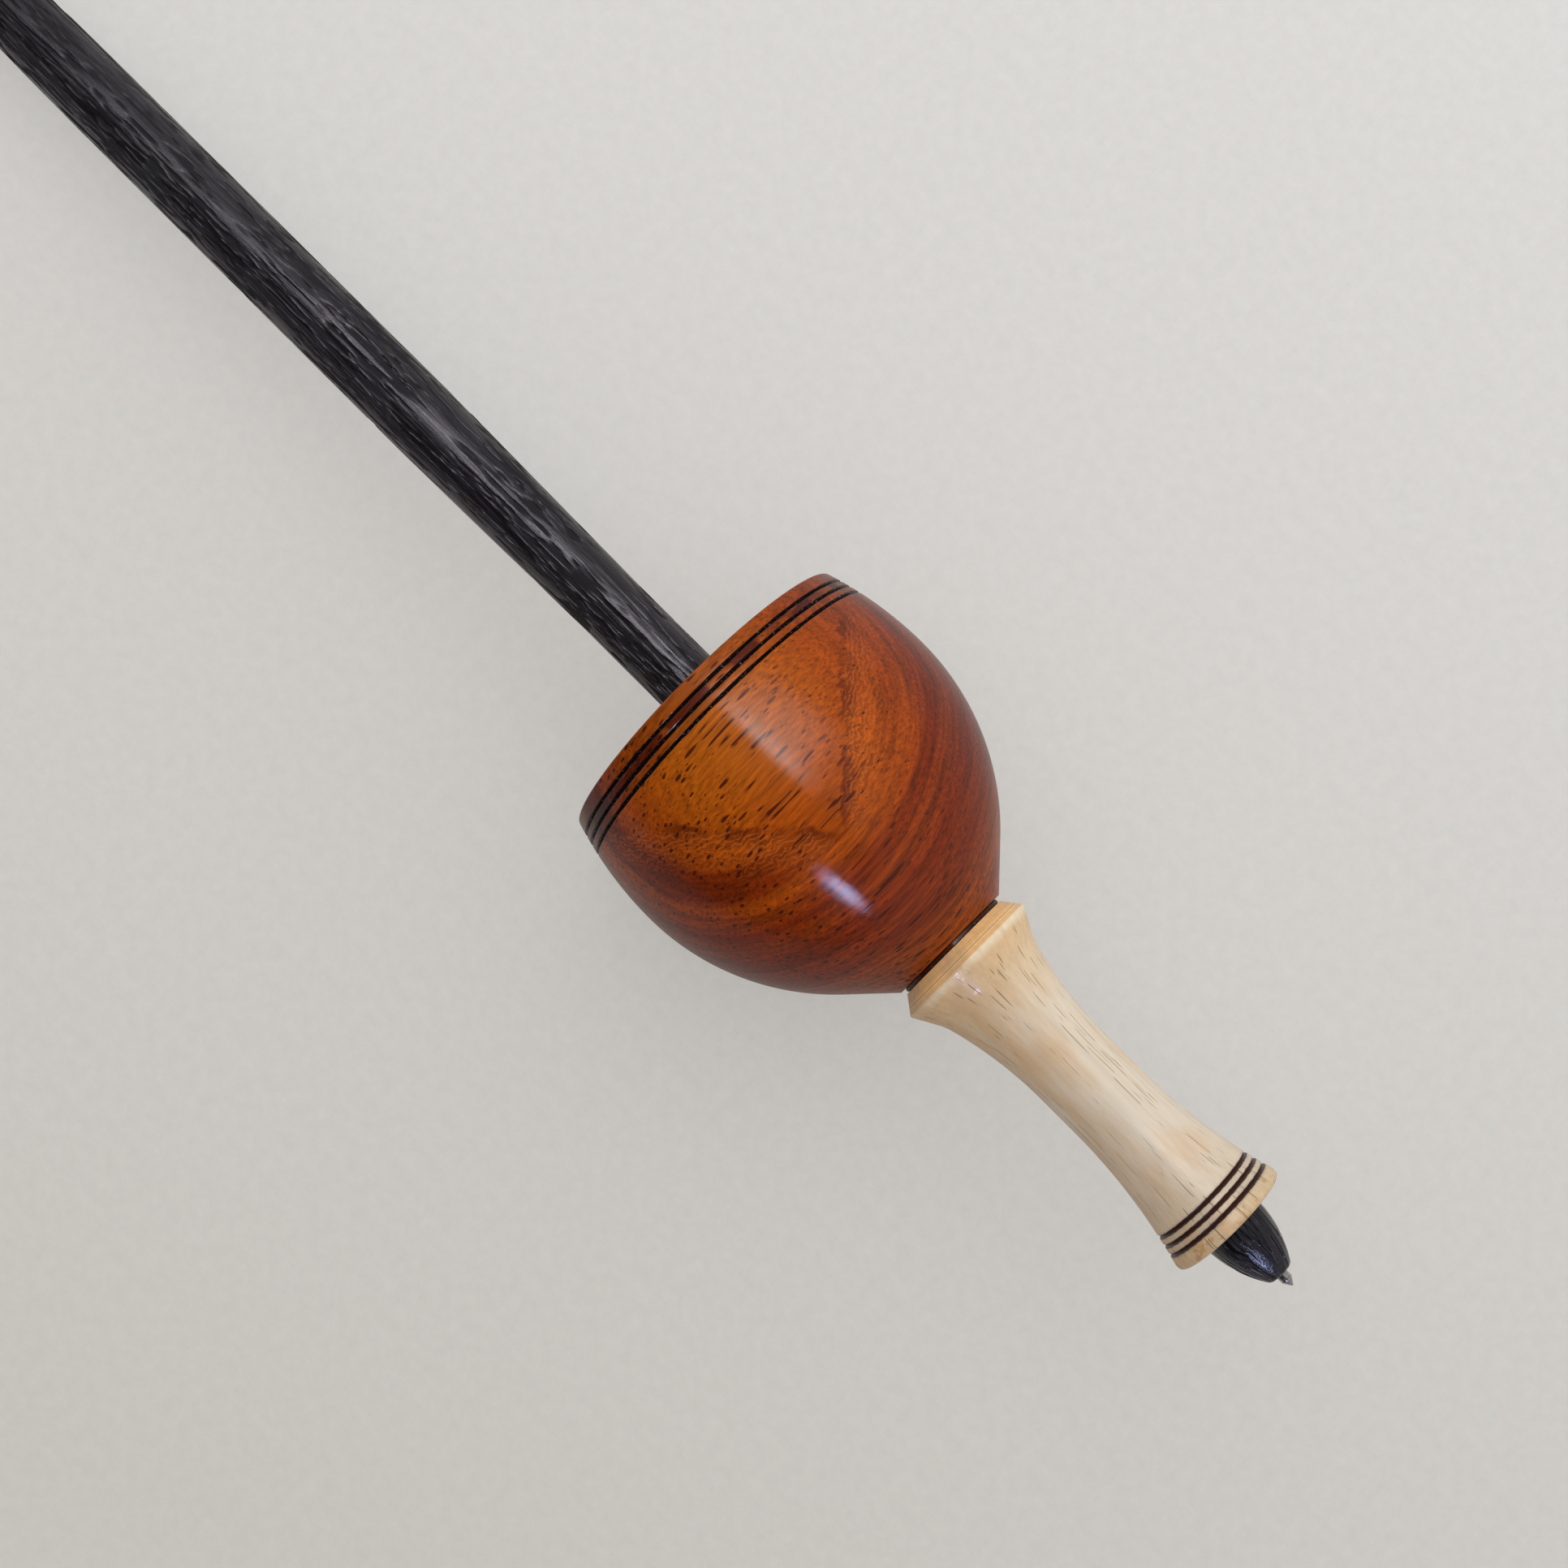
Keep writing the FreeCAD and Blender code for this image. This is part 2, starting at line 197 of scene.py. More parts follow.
def bow(x0, r0, x1, r1, level, stations):
    """Points on the circular arc from (x0, r0) to (x1, r1) that runs level at one end.

    With t the distance from the level end, the arc leaves that end's radius by R - sqrt(R^2 - t^2),
    where R = (run^2 + rise^2) / (2 * rise).
    """
    run, rise = x1 - x0, r1 - r0
    radius = (run ** 2 + rise ** 2) / (2 * abs(rise))
    sign = math.copysign(1, rise)
    t, level_radius, sign = (stations - x0, r0, sign) if level == "start" else (x1 - stations, r1, -sign)
    return np.column_stack((stations, level_radius + sign * (radius - np.sqrt(radius ** 2 - t ** 2))))


def eased(path, corner, reach):
    """The path with one corner rounded: the stretch within reach of it becomes the quadratic curve
    (1-t)^2 * before + 2t(1-t) * corner + t^2 * after, drawn with 8 points."""
    corner = np.array(corner)
    near = np.flatnonzero(np.linalg.norm(path - corner, axis=1) < reach)
    if len(near) == 0:
        raise RuntimeError(f"no corner at {corner}")
    first, last = near[0], near[-1]
    before = corner + (path[first - 1] - corner) * reach / np.linalg.norm(path[first - 1] - corner)
    after = corner + (path[last + 1] - corner) * reach / np.linalg.norm(path[last + 1] - corner)
    t = np.linspace(0, 1, 8)[:, None]
    curve = (1 - t) ** 2 * before + 2 * t * (1 - t) * corner + t ** 2 * after
    return np.vstack((path[:first], curve, path[last + 1:]))


def stations(x0, x1, step, lines=(), half=0.0, fine=0.05):
    """Stations from x0 to x1 a step apart, with finer ones within half of each line. A station that
    comes closer than 0.4 * fine to the one before it is left out, unless it is the last."""
    parts = [np.linspace(x0, x1, max(2, int(round((x1 - x0) / step)) + 1))]
    parts += [np.linspace(x - half, x + half, 2 * int(round(half / fine)) + 1) for x in lines]
    found = np.unique(np.round(np.concatenate(parts), 5))
    found = found[(found >= x0) & (found <= x1)]
    keep = np.concatenate(([True], np.diff(found) > fine * 0.4))
    keep[-1] = True
    return found[keep]


def v_cut(x, lines, width):
    """V-shaped lines at station x, 1 deep: 1 - |x - line| / (width / 2), and 0 outside."""
    cut = np.zeros(np.broadcast(x, width).shape)
    for line in lines:
        cut = np.maximum(cut, 1 - np.abs(x - line) / (width / 2))
    return cut


def ripple(x, a, step, cells, seed):
    """Smooth noise from 0 to 1 over station x and direction a, the same again after one turn.

    Random values stand on a lattice of step millimetres by 1 / cells of a turn. Between them the height
    follows t * t * (3 - 2 * t) both ways.
    """
    rows, columns = x / step, a / (2 * math.pi) * cells
    lattice = np.random.default_rng(seed).random((int(rows.max()) + 3, cells))
    i, j = np.floor(rows).astype(int), np.floor(columns).astype(int)
    s, t = rows - i, columns - j
    s, t = s * s * (3 - 2 * s), t * t * (3 - 2 * t)
    i, j, beside = np.maximum(i, 0), j % cells, (j + 1) % cells
    return ((lattice[i, j] * (1 - t) + lattice[i, beside] * t) * (1 - s)
            + (lattice[i + 1, j] * (1 - t) + lattice[i + 1, beside] * t) * s)


def turned(name, path, turns, ring=False, sink=None, marks=None):
    """A surface of revolution from a path of (station, radius) in millimetres.

    The point at station x and direction a is
    TIP + x * AXIS + (r - sink(x, r, a)) * (cos a * UP + sin a * SIDE).
    A path end of radius 0 is one point. A ring's last station joins its first. marks gives the
    values of named attributes on the same grid.
    """
    angle = np.linspace(0, 2 * math.pi, turns, endpoint=False)
    grid = path[:, 0:1], path[:, 1:2], angle
    x, r = np.broadcast_arrays(path[:, 0:1], path[:, 1:2] + 0 * angle)
    if sink is not None:
        r = r - sink(*grid)
    around = np.cos(angle)[:, None] * UP + np.sin(angle)[:, None] * SIDE
    points = (TIP + MM * (x[..., None] * AXIS + r[..., None] * around)).reshape(-1, 3)
    rows = np.arange(len(path) * turns).reshape(len(path), turns)
    following = np.roll(rows, -1, axis=1)
    if ring:
        used = rows.ravel()
        above, above_following = np.roll(rows, -1, axis=0), np.roll(following, -1, axis=0)
        faces = np.stack((rows, above, above_following, following), axis=-1).reshape(-1, 4).tolist()
    else:
        first, last = 0, len(path) * turns - 1
        used = np.r_[first, turns:(len(path) - 1) * turns, last]
        number = np.zeros(len(path) * turns, int)
        number[used] = np.arange(len(used))
        quads = np.stack((rows[1:-2], rows[2:-1], following[2:-1], following[1:-2]), axis=-1)
        start = np.stack((np.full(turns, first), rows[1], following[1]), axis=-1)
        end = np.stack((rows[-2], np.full(turns, last), following[-2]), axis=-1)
        faces = (number[quads.reshape(-1, 4)].tolist() + number[start].tolist()
                 + number[end].tolist())
    mesh = bpy.data.meshes.new(name)
    mesh.from_pydata(points[used].tolist(), [], faces)
    mesh.polygons.foreach_set("use_smooth", np.ones(len(mesh.polygons), bool))
    mesh.set_sharp_from_angle(angle=math.radians(38))
    for mark, values in (marks or {}).items():
        attribute = mesh.attributes.new(mark, "FLOAT", "POINT")
        heights = np.broadcast_to(values(*grid), rows.shape).ravel()[used]
        attribute.data.foreach_set("value", heights.astype(np.float32))
    piece = bpy.data.objects.new(name, mesh)
    bpy.context.scene.collection.objects.link(piece)
    return piece


def put_in_place(piece, node, material):
    """Give a piece its material, and let it stand for a CAD node."""
    piece.data.materials.append(material)
    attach(piece, "root")
    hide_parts(node)


# ------------------------------------------------------------------ materials

MIXED = {"output": 2, "data_type": "RGBA"}
TINTED = {**MIXED, "blend_type": "MULTIPLY"}
SMOOTH = {"interpolation_type": "SMOOTHSTEP"}


def add(tree, kind, inputs=(), output=0, stops=None, **settings):
    """Add a node with its settings, ramp stops and inputs, which are values or links, in order or by
    name or number. Return one of its outputs, or all of them where output is None."""
    new = tree.nodes.new("ShaderNode" + kind)
    for name, setting in settings.items():
        setattr(new, name, setting)
    if stops:
        elements = new.color_ramp.elements
        elements.remove(elements[1])
        elements[0].position, elements[0].color = stops[0]
        for position, value in stops[1:]:
            elements.new(position).color = value
    for socket, given in inputs.items() if isinstance(inputs, dict) else enumerate(inputs):
        if isinstance(given, bpy.types.NodeSocket):
            tree.links.new(given, new.inputs[socket])
        else:
            new.inputs[socket].default_value = given
    if output is None or not new.outputs:
        return tuple(new.outputs)
    return new.outputs[output]


def empty_material(name):
    """A new material and its empty node tree."""
    material = bpy.data.materials.new(name)
    material.use_nodes = True
    material.node_tree.nodes.clear()
    return material, material.node_tree


def in_wood(tree, origin, along, across, out):
    """Object coordinates in millimetres from origin, turned so that X runs along, Y across and Z out."""
    axes = Matrix((along, across, out)).transposed()
    return add(tree, "Mapping", {
        "Vector": add(tree, "TexCoord", output="Object"), "Location": origin,
        "Rotation": axes.to_euler(), "Scale": (MM, MM, MM)}, vector_type="TEXTURE")


def grain(tree, place, cells, detail, roughness=0.5, distortion=0.0):
    """Noise from 0 to 1, drawn out along the grain: cells per millimetre along X, Y and Z of place."""
    drawn = add(tree, "VectorMath", (place, cells), operation="MULTIPLY")
    return add(tree, "TexNoise", {"Vector": drawn, "Scale": 1.0, "Detail": detail,
                                  "Roughness": roughness, "Distortion": distortion})


def unrolled(tree, place, radius):
    """Coordinates that follow a turned surface: X along the axis, Y = radius * angle round it, and
    Z = 0.12 * distance from it, so that marks along the grain stay in the surface."""
    x, y, z = add(tree, "SeparateXYZ", (place,), output=None)
    angle = add(tree, "Math", (y, z), operation="ARCTAN2")
    angle = add(tree, "Math", (angle, radius), operation="MULTIPLY")
    across = add(tree, "VectorMath", (place, (0.0, 0.12, 0.12)), operation="MULTIPLY")
    across = add(tree, "VectorMath", (across,), output=1, operation="LENGTH")
    return add(tree, "CombineXYZ", (x, angle, across))


def pores(tree, place, spacing, small, large, run, wander, seed):
    """Open pores as thin tubes along X of place: 1 inside a tube, 0 outside.

    Across the tubes, the cells of a Voronoi pattern, spacing apart, hold one pore each, with a radius
    between small and large. A negative radius is no pore. Slow noise bends the tubes by wander, and
    noise along each tube breaks it into lengths of about run. seed moves the pattern.
    """
    shifted = add(tree, "VectorMath", (place, (seed, seed * 1.7, seed * 0.6)), operation="ADD")
    # The bends are about 9 mm long and 4 mm wide.
    bend = add(tree, "VectorMath", (shifted, (0.11, 0.25, 0.25)), operation="MULTIPLY")
    bend = add(tree, "TexNoise", {"Vector": bend, "Scale": 1.0, "Detail": 1.0}, output="Color")
    bend = add(tree, "VectorMath", (bend, (0.5, 0.5, 0.5)), operation="SUBTRACT")
    bend = add(tree, "VectorMath", {0: bend, "Scale": wander * 2}, operation="SCALE")
    bent = add(tree, "VectorMath", (shifted, bend), operation="ADD")
    x, y, z = add(tree, "SeparateXYZ", (bent,), output=None)
    section = add(tree, "CombineXYZ", (y, z))
    distance, cell, *_ = add(tree, "TexVoronoi", {"Vector": section, "Scale": 1 / spacing}, output=None,
                             voronoi_dimensions="2D")
    distance = add(tree, "Math", (distance, spacing), operation="MULTIPLY")
    size, phase, _ = add(tree, "SeparateColor", (cell,), output=None)
    radius = add(tree, "MapRange", (size, 0, 1, small, large))
    radius = add(tree, "Math", (radius, 0.001), operation="MAXIMUM")
    outer = add(tree, "Math", (radius, 1.2), operation="MULTIPLY")
    inner = add(tree, "Math", (radius, 0.8), operation="MULTIPLY")
    inside = add(tree, "MapRange", (distance, outer, inner))
    # Each tube reads its own stretch of the noise, up to 37 lengths away from its neighbour's.
    phase = add(tree, "Math", (phase, 37.0), operation="MULTIPLY")
    lengths = add(tree, "Math", (x, run), operation="DIVIDE")
    lengths = add(tree, "Math", (lengths, phase), operation="ADD")
    open_here = add(tree, "TexNoise", {"W": lengths, "Scale": 1.0, "Detail": 0.0}, noise_dimensions="1D")
    open_here = add(tree, "MapRange", (open_here, 0.46, 0.54))
    return add(tree, "Math", (inside, open_here), operation="MULTIPLY")


# Padauk's colour by growth layer: its depth in the log in millimetres, 0 at the whorl's middle.
PADAUK_LAYERS = (
    (-20, "92400F"), (-14, "92400A"), (-10.5, "8A3808"), (-7, "7C2C06"), (-4.2, "823006"),
    (-2.8, "8A3408"), (-1.2, "7A2A04"), (1.8, "863006"), (4.8, "903A06"), (6.4, "8A3404"),
    (7.8, "802C02"), (9.2, "943A04"), (11, "A04404"), (12.5, "A84A04"), (14, "A24604"),
    (16, "AC4C04"), (20, "AA4C04"), (22.5, "AE5408"), (26, "B86210"))


def layer_depth(tree, body, place, turn):
    """Depth in the log, in millimetres, where body has X along the spindle's axis.

    It is the distance along a direction that leans 25 degrees from upright and is turned by turn, less
    0.0145 * (distance along the axis)^2, which bends the layers towards the foot, plus slow noise.
    """
    lean = math.radians(25)
    upwards = math.sin(lean), math.cos(lean) * math.sin(turn), math.cos(lean) * math.cos(turn)
    depth = add(tree, "VectorMath", (body, upwards), output=1, operation="DOT_PRODUCT")
    station = add(tree, "SeparateXYZ", (body,))
    bend = add(tree, "Math", (station, 2.0), operation="POWER")
    depth = add(tree, "Math", (bend, -0.0145, depth), operation="MULTIPLY_ADD")
    slow = grain(tree, place, (0.05, 0.07, 0.07), detail=2)
    slow = add(tree, "MapRange", (slow, 0, 1, -1.5, 1.5), clamp=False)
    return add(tree, "Math", (depth, slow), operation="ADD")


def past_folds(tree, body, place):
    """Millimetres past the two folds at the sides of the crown, which meet in a V.

    It is the greater of the distances from two lines in the plane of X and Y of body, plus noise.
    """
    far = None
    for sideways, start in ((0.73, 7.7), (-0.73, 8.5)):
        past = add(tree, "VectorMath", (body, (-0.68, sideways, 0.0)), output=1,
                   operation="DOT_PRODUCT")
        past = add(tree, "Math", (past, start), operation="SUBTRACT")
        far = past if far is None else add(tree, "Math", (far, past), operation="MAXIMUM")
    shake = grain(tree, place, (0.15, 0.45, 0.45), detail=5, roughness=0.6)
    shake = add(tree, "MapRange", (shake, 0, 1, -2.2, 2.2), clamp=False)
    return add(tree, "Math", (far, shake), operation="ADD")


def pale_bands(tree, place):
    """Thin bands 0.58 mm apart that wave: the sine of 2 pi / 0.58 * (height + noise), above 0.1."""
    wave = grain(tree, place, (0.75, 0.6, 0.6), detail=2)
    wave = add(tree, "MapRange", (wave, 0, 1, -1.0, 1.0), clamp=False)
    height = add(tree, "SeparateXYZ", (place,), output=2)
    wave = add(tree, "Math", (height, wave), operation="ADD")
    wave = add(tree, "Math", (wave, 2 * math.pi / 0.58), operation="MULTIPLY")
    wave = add(tree, "Math", (wave,), operation="SINE")
    return add(tree, "MapRange", (wave, 0.1, 1.0))


def padauk(centre):
    """Padauk, turned, sanded fine and oiled to a polish.

    The eye sees orange wood in curved growth layers, dark open pores that are long dashes where the
    fibres lie in the surface and dots where they end in it, a browner end grain at the flanks, and a
    thin clear gloss over all of it. centre is the middle of the whorl's widest place.
    """
    material, tree = empty_material("padauk_oiled_polished")
    # The fibres run sideways through the whorl, and the log's outside faces up and towards the shaft.
    lean, turn = math.radians(48), math.radians(4)
    out = math.sin(lean) * AXIS + math.cos(lean) * (math.cos(turn) * UP + math.sin(turn) * SIDE)
    fibres = SIDE - out * (SIDE @ out)
    fibres /= np.linalg.norm(fibres)
    place = in_wood(tree, centre, fibres, np.cross(out, fibres), out)
    body = in_wood(tree, centre, AXIS, SIDE, UP)
    depth = layer_depth(tree, body, place, turn)

    first, last = PADAUK_LAYERS[0][0], PADAUK_LAYERS[-1][0]
    share = add(tree, "MapRange", (depth, first, last))
    wood = add(tree, "ValToRGB", {"Fac": share}, stops=[
        ((at - first) / (last - first), linear(code)) for at, code in PADAUK_LAYERS])

    # A streak of darker heartwood 4 mm thick that shows at one side.
    normal = add(tree, "NewGeometry", output="Normal")
    side = add(tree, "VectorMath", (normal, tuple(fibres)), output=1, operation="DOT_PRODUCT")
    heart = add(tree, "Math", (depth, 15.8), operation="SUBTRACT")
    heart = add(tree, "Math", (heart,), operation="ABSOLUTE")
    heart = add(tree, "MapRange", (heart, 2.8, 1.5), **SMOOTH)
    near = add(tree, "MapRange", (side, 0.12, 0.36, 0, 0.8))
    heart = add(tree, "Math", (heart, near), operation="MULTIPLY")

    # Fibres: fine streaks along the grain, 8 mm long and 0.2 to 0.4 mm wide.
    streak = grain(tree, place, (0.12, 2.4, 2.4), detail=5, roughness=0.68)
    shade = add(tree, "MapRange", (streak, 0.3, 0.7, 0.54, 1.35))

    # Growth streaks: darker and lighter sheets 0.9 mm thick within the layers, faint at the crown.
    along, across, _ = add(tree, "SeparateXYZ", (place,), output=None)
    along = add(tree, "Math", (along, 0.05), operation="MULTIPLY")
    across = add(tree, "Math", (across, 0.12), operation="MULTIPLY")
    through = add(tree, "Math", (depth, 1.1), operation="MULTIPLY")
    sheet = add(tree, "CombineXYZ", (along, across, through))
    sheet = add(tree, "TexNoise", {"Vector": sheet, "Scale": 1.0, "Detail": 5.0, "Roughness": 0.62})
    sheet = add(tree, "MapRange", (sheet, 0.34, 0.64, 0.58, 1.18))
    below_crown = add(tree, "MapRange", (depth, 20.5, 16.0, 0.15))

    # Each fold starts with a dark edge, broken in places, that fades away from the crown.
    fold = past_folds(tree, body, place)
    edge = add(tree, "MapRange", (fold, -0.5, 0.15), **SMOOTH)
    fade = add(tree, "MapRange", (fold, 2.8, 0.2))
    high = add(tree, "MapRange", (depth, 11.0, 16.0, 0, 0.8))
    faint = add(tree, "TexNoise", {"Vector": place, "Scale": 0.16, "Detail": 2.0})
    faint = add(tree, "MapRange", (faint, 0.42, 0.58, 0.15))
    for factor in (fade, high, faint):
        edge = add(tree, "Math", (edge, factor), operation="MULTIPLY")

    # Beyond the folds, thin pale bands fade in and out again.
    band = pale_bands(tree, place)
    patch = add(tree, "MapRange", (fold, 0, 1, 0, 0.42))
    fade = add(tree, "MapRange", (fold, 6.0, 2.5))
    for factor in (patch, fade, high):
        band = add(tree, "Math", (band, factor), operation="MULTIPLY")

    # End grain at the flanks drinks more oil: browner and darker.
    ends = add(tree, "Math", (side,), operation="ABSOLUTE")
    drink = add(tree, "MapRange", (ends, 0.35, 0.9))

    # Pores: large ones 0.7 mm apart that thin out to one side, and fine ones crowded into some layers.
    large = pores(tree, place, spacing=0.70, small=-0.03, large=0.25,
                  run=5.0, wander=0.25, seed=3.0)
    sideways = add(tree, "SeparateXYZ", (body,), output=1)
    spread = add(tree, "MapRange", (sideways, -13.0, -3.0, 0.2))
    large = add(tree, "Math", (large, spread), operation="MULTIPLY")
    fine = pores(tree, place, spacing=0.56, small=-0.02, large=0.115,
                 run=3.0, wander=0.4, seed=11.0)
    crowd = add(tree, "TexNoise", {"W": depth, "Scale": 0.45, "Detail": 1.0}, noise_dimensions="1D")
    crowd = add(tree, "MapRange", (crowd, 0.44, 0.6, 0.55))
    fine = add(tree, "Math", (fine, crowd), operation="MULTIPLY")
    open_grain = add(tree, "Math", (large, fine), operation="MAXIMUM")
    pore_tint = add(tree, "Math", (open_grain, 0.94), operation="MULTIPLY")

    # The burning tool leaves a brown scorch beside its lines, and in them char with grey specks, partly
    # ash and partly painted glints on the char.
    scorch = add(tree, "Attribute", output="Fac", attribute_name="scorch")
    burn = add(tree, "Attribute", output="Fac", attribute_name="burn")
    ash_and_glints = add(tree, "TexNoise", {"Vector": place, "Scale": 3.2, "Detail": 2.0})
    ash_and_glints = add(tree, "MapRange", (ash_and_glints, 0.63, 0.70, 0, 0.6))
    char = add(tree, "Mix", {0: ash_and_glints, 6: linear("140906"), 7: linear("8E8880")}, **MIXED)

    # Colours over the growth layers, from what grew to what was done to the wood.
    for share, colour, way in (
            (heart, linear("B68C78"), TINTED),
            (1.0, shade, TINTED),
            (below_crown, sheet, TINTED),
            (edge, linear("9C8078"), TINTED),
            (band, linear("D27A3C"), MIXED),
            (drink, linear("D8C4CE"), TINTED),
            (pore_tint, linear("4A1604"), MIXED),
            (scorch, linear("8A6258"), TINTED),
            (burn, char, MIXED)):
        wood = add(tree, "Mix", {0: share, 6: wood, 7: colour}, **way)

    sunk = add(tree, "MapRange", (open_grain, 0, 1, 1.0, 0.0))
    height = add(tree, "Math", (streak, 0.8, sunk), operation="MULTIPLY_ADD")
    bump = add(tree, "Bump", {"Height": height, "Strength": 0.8, "Distance": 0.06 * MM})
    film = add(tree, "Bump", {"Height": streak, "Strength": 1.0, "Distance": 0.035 * MM})
    rough = add(tree, "MapRange", (burn, 0, 1, 0.38, 0.7))
    shader = add(tree, "BsdfPrincipled", {
        "Base Color": wood, "Roughness": rough, "Normal": bump, "IOR": 1.5, "Specular IOR Level": 0.04,
        "Coat Weight": 0.36, "Coat Roughness": 0.065, "Coat IOR": 1.5, "Coat Normal": film})
    add(tree, "OutputMaterial", {"Surface": shader})
    return material


# Birch's colour along the neck, by share of the way from its end to the whorl: the end band, the lines,
# the waist, the tan flare and the golden bevel.
BIRCH_TONES = (
    (0.0, "CEB48E"), (0.045, "D1BA99"), (0.06, "D4C3AA"), (0.28, "DCCEBB"), (0.70, "DDCEB9"),
    (0.82, "DBC4A4"), (0.925, "DEBC90"), (0.945, "EDDCC0"), (0.958, "F4C88E"), (1.0, "F0BE80"))


def birch():
    """Birch, turned, sanded and waxed to a satin.

    The eye sees cream wood with fine brown dashes of open pores along the grain, a tan flare under
    the whorl, a golden bevel with fine turned rings, and a soft shine.
    """
    material, tree = empty_material("birch_waxed_satin")
    place = in_wood(tree, TIP, AXIS, SIDE, UP)
    station, sideways, _ = add(tree, "SeparateXYZ", (place,), output=None)
    end, seat, _ = reach_of("neck")
    share = add(tree, "MapRange", (station, end, seat))
    wood = add(tree, "ValToRGB", {"Fac": share}, stops=[(at, linear(code)) for at, code in BIRCH_TONES])

    # Clouds of tan 12 mm long and 4 mm wide: the wood's own tan, plus more of it on one side as painted
    # warm shade and painted orange bounce light from the whorl.
    cloud = grain(tree, place, (0.08, 0.28, 0.28), detail=3)
    cloud = add(tree, "Math", (sideways, 0.02, cloud), operation="MULTIPLY_ADD")
    cloud = add(tree, "MapRange", (cloud, 0.42, 0.70, 0, 0.80))

    # Brown marks 1.4 mm wide on the end band.
    spots = add(tree, "TexNoise", {"Vector": place, "Scale": 0.7, "Detail": 3.0})
    spots = add(tree, "MapRange", (spots, 0.52, 0.62, 0, 0.7))
    band = add(tree, "MapRange", (share, 0.045, 0.03))
    spots = add(tree, "Math", (spots, band), operation="MULTIPLY")

    # Fibres: faint streaks 20 mm long and 0.3 to 0.7 mm wide.
    streak = grain(tree, place, (0.05, 1.5, 1.5), detail=4, roughness=0.6)
    shade = add(tree, "MapRange", (streak, 0.3, 0.7, 0.9, 1.05))

    # The bevel was cut across the grain: fine rings 0.2 mm apart.
    rings = add(tree, "TexNoise", {"W": station, "Scale": 4.5, "Detail": 2.0}, noise_dimensions="1D")
    rings = add(tree, "MapRange", (rings, 0.35, 0.65, 0.80, 1.12))
    cut = add(tree, "MapRange", (share, 0.95, 0.96))

    # Pores 0.3 mm apart, up to 0.14 mm wide and about 4.6 mm long, left out on the lip and the bevel.
    dashes = pores(tree, unrolled(tree, place, 6.5), spacing=0.29, small=-0.03, large=0.070,
                   run=4.6, wander=0.15, seed=8.0)
    uncut = add(tree, "MapRange", (share, 0.935, 0.92, 0, 0.78))
    tint = add(tree, "Math", (dashes, uncut), operation="MULTIPLY")

    burn = add(tree, "Attribute", output="Fac", attribute_name="burn")
    for share, colour, way in (
            (cloud, linear("D4B086"), MIXED),
            (spots, linear("B98C5A"), MIXED),
            (1.0, shade, TINTED),
            (cut, rings, TINTED),
            (tint, linear("866C42"), MIXED),
            (burn, linear("38190F"), MIXED)):
        wood = add(tree, "Mix", {0: share, 6: wood, 7: colour}, **way)

    sunk = add(tree, "MapRange", (dashes, 0, 1, 1.0, 0.0))
    height = add(tree, "Math", (streak, 0.6, sunk), operation="MULTIPLY_ADD")
    sparkle = add(tree, "TexNoise", {"Vector": place, "Scale": 4.0, "Detail": 2.0})
    height = add(tree, "Math", (sparkle, 0.25, height), operation="MULTIPLY_ADD")
    bump = add(tree, "Bump", {"Height": height, "Strength": 0.8, "Distance": 0.05 * MM})
    shader = add(tree, "BsdfPrincipled", {
        "Base Color": wood, "Roughness": 0.45, "Normal": bump, "IOR": 1.5, "Specular IOR Level": 0.35,
        "Coat Weight": 0.14, "Coat Roughness": 0.08, "Coat Normal": bump})
    add(tree, "OutputMaterial", {"Surface": shader})
    return material


def ebonised_oak():
    """Open-grained oak, turned, dyed black and oiled.

    The eye sees a black rod with a dull shine that open pores and cracks along the grain break into
    wavy grey lines. The nose, which was handled more, is smoother and shinier.
    """
    material, tree = empty_material("oak_ebonised_oiled")
    place = in_wood(tree, TIP, AXIS, SIDE, UP)
    # Fibres: streaks 11 mm long and 0.2 to 0.5 mm wide.
    streak = grain(tree, place, (0.09, 2.2, 2.2), detail=6, roughness=0.72, distortion=0.25)
    wood = add(tree, "ValToRGB", {"Fac": streak}, stops=[
        (at, linear(code)) for at, code in ((0.42, "040305"), (0.52, "0A080C"), (0.62, "2A252E"))])

    # Pores up to 0.24 mm wide, short pits and long ones, and the cracks sunk into the surface.
    skin = unrolled(tree, place, 5.0)
    pits = pores(tree, skin, spacing=0.46, small=-0.05, large=0.12,
                 run=1.8, wander=0.3, seed=13.0)
    open_grain = pores(tree, skin, spacing=0.60, small=-0.06, large=0.12,
                       run=7.0, wander=0.5, seed=7.0)
    open_grain = add(tree, "Math", (open_grain, pits), operation="MAXIMUM")
    crack = add(tree, "Attribute", output="Fac", attribute_name="crack")
    crack = add(tree, "Math", (open_grain, crack), operation="MAXIMUM")
    wood = add(tree, "Mix", {0: crack, 6: wood, 7: linear("020203")}, **MIXED)

    rough = add(tree, "MapRange", (streak, 0.38, 0.62, 0.38, 0.15))
    nose = reach_of("neck")[0]
    station = add(tree, "SeparateXYZ", (place,))
    worn = add(tree, "MapRange", (station, nose - 0.3, nose + 0.3, 0.36, 1.0))
    rough = add(tree, "Math", (rough, worn), operation="MULTIPLY")
    rough = add(tree, "Mix", {0: crack, 2: rough, 3: 0.85})
    height = add(tree, "Math", (crack, -0.5, streak), operation="MULTIPLY_ADD")
    bump = add(tree, "Bump", {"Height": height, "Strength": 1.0, "Distance": 0.06 * MM})
    shader = add(tree, "BsdfPrincipled", {
        "Base Color": wood, "Roughness": rough, "Normal": bump, "IOR": 1.46,
        "Specular IOR Level": 0.64, "Specular Tint": (0.97, 0.91, 1.0, 1.0)})
    add(tree, "OutputMaterial", {"Surface": shader})
    return material


